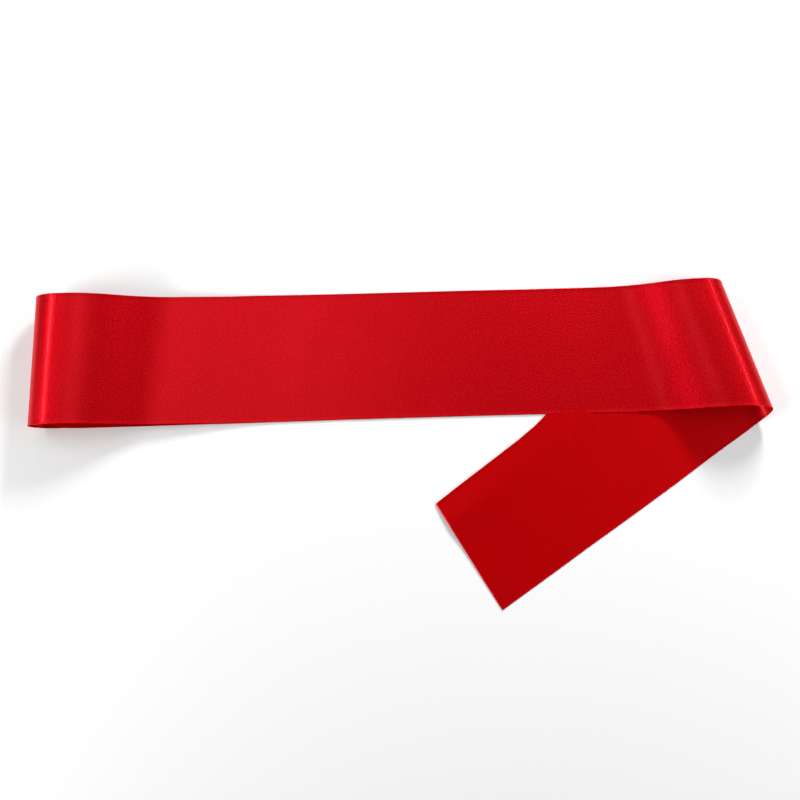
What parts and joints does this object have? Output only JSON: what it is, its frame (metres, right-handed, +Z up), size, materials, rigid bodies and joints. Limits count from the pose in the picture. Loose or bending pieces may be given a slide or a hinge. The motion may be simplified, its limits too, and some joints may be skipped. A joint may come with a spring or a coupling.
{
  "type": "satin sash",
  "caption": "Plain satin sash lying folded on a table: a long flat strip turned over in soft loops, with one square end fanned out as a tail.",
  "frame": {"origin": "middle of the folded sash's outline, on the table under it", "axes": "+X along the band to the right, +Y away from the viewer across the band, +Z up from the table"},
  "size_m": [0.5636, 0.2499, 0.0298],
  "materials": {
    "red_satin": "glossy satin weave, red, with a duller reverse"
  },
  "bodies": {
    "root": {"under_layer": "red_satin", "left_turn": "red_satin", "band": "red_satin", "right_turn": "red_satin", "tail": "red_satin"}
  },
  "joints": []
}
